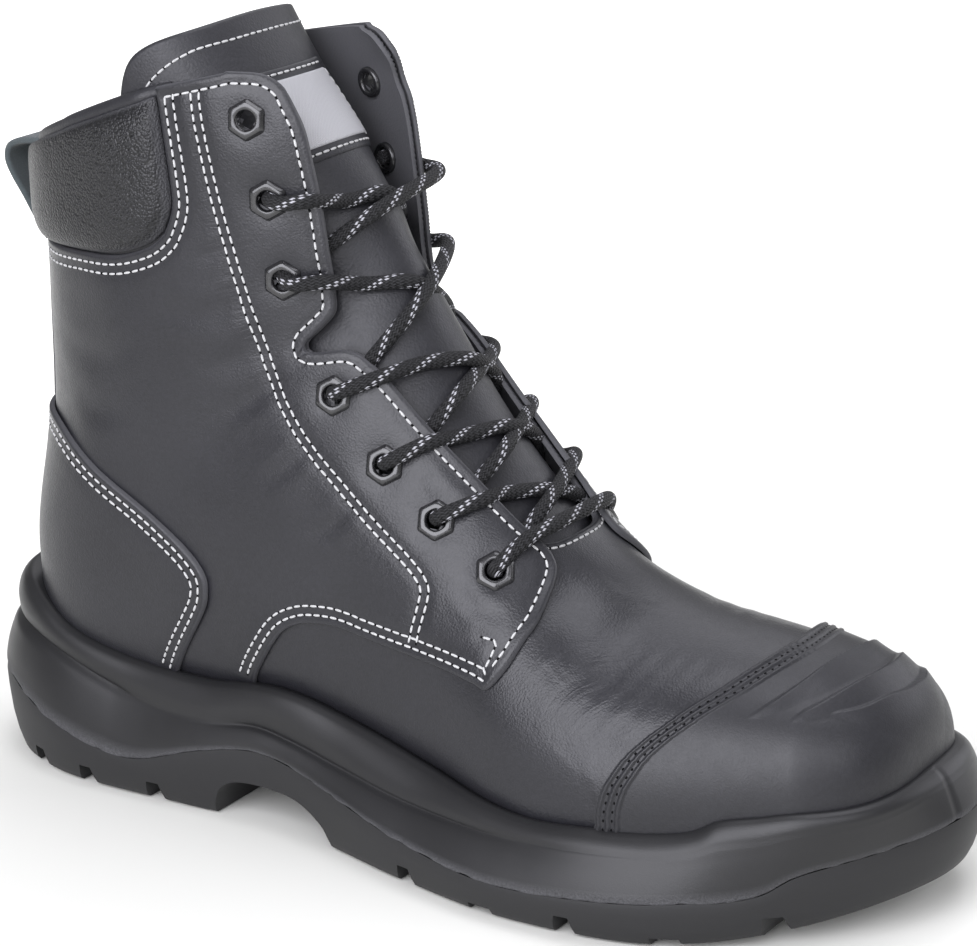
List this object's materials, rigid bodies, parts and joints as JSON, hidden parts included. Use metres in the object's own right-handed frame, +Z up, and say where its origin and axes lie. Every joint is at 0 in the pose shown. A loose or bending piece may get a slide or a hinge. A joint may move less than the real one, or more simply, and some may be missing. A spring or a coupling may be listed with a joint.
{
  "type": "laced safety boot",
  "caption": "Black leather safety boot for the right foot, laced to the ankle, with padded collar, ribbed toe cap, heel counter and lugged two-layer sole.",
  "frame": {"origin": "on the floor under the middle of the boot's length and width", "axes": "+X from heel to toe, +Y towards the inner (medial) side of the foot, +Z up"},
  "size_m": [0.3126, 0.1192, 0.2346],
  "materials": {
    "outsole_rubber": "satin black tread",
    "midsole_rubber": "satin black moulded side",
    "insole_cloth": "dull dark cloth",
    "upper_leather": "smooth satin black",
    "quarter_leather": "smooth satin black",
    "counter_leather": "smooth satin black",
    "pad_leather": "finely pebbled, soft sheen",
    "cap_plastic": "moulded, fine texture",
    "tongue_leather": "smooth satin black",
    "label_weave": "pale woven cloth",
    "loop_suede": "dull grey suede",
    "eyelet_metal": "gunmetal, worn brighter on the lower ones",
    "lace_braid": "round black braid with grey flecks"
  },
  "bodies": {
    "root": {"outsole": "outsole_rubber", "midsole": "midsole_rubber", "insole": "insole_cloth", "upper": "upper_leather", "quarter_lateral": "quarter_leather", "quarter_medial": "quarter_leather", "heel_counter": "counter_leather", "backstay": "counter_leather", "collar_pad": "pad_leather", "scuff_cap": "cap_plastic", "tongue": "tongue_leather", "tongue_label": "label_weave", "pull_loop": "loop_suede", "eyelet_lateral_1": "eyelet_metal", "eyelet_lateral_2": "eyelet_metal", "eyelet_lateral_3": "eyelet_metal", "eyelet_lateral_4": "eyelet_metal", "eyelet_lateral_5": "eyelet_metal", "eyelet_lateral_6": "eyelet_metal", "eyelet_lateral_7": "eyelet_metal", "eyelet_medial_1": "eyelet_metal", "eyelet_medial_2": "eyelet_metal", "eyelet_medial_3": "eyelet_metal", "eyelet_medial_4": "eyelet_metal", "eyelet_medial_5": "eyelet_metal", "eyelet_medial_6": "eyelet_metal", "eyelet_medial_7": "eyelet_metal", "lace_cross_1": "lace_braid", "lace_cross_2": "lace_braid", "lace_cross_3": "lace_braid", "lace_cross_4": "lace_braid", "lace_cross_5": "lace_braid", "lace_bar": "lace_braid"}
  },
  "joints": []
}
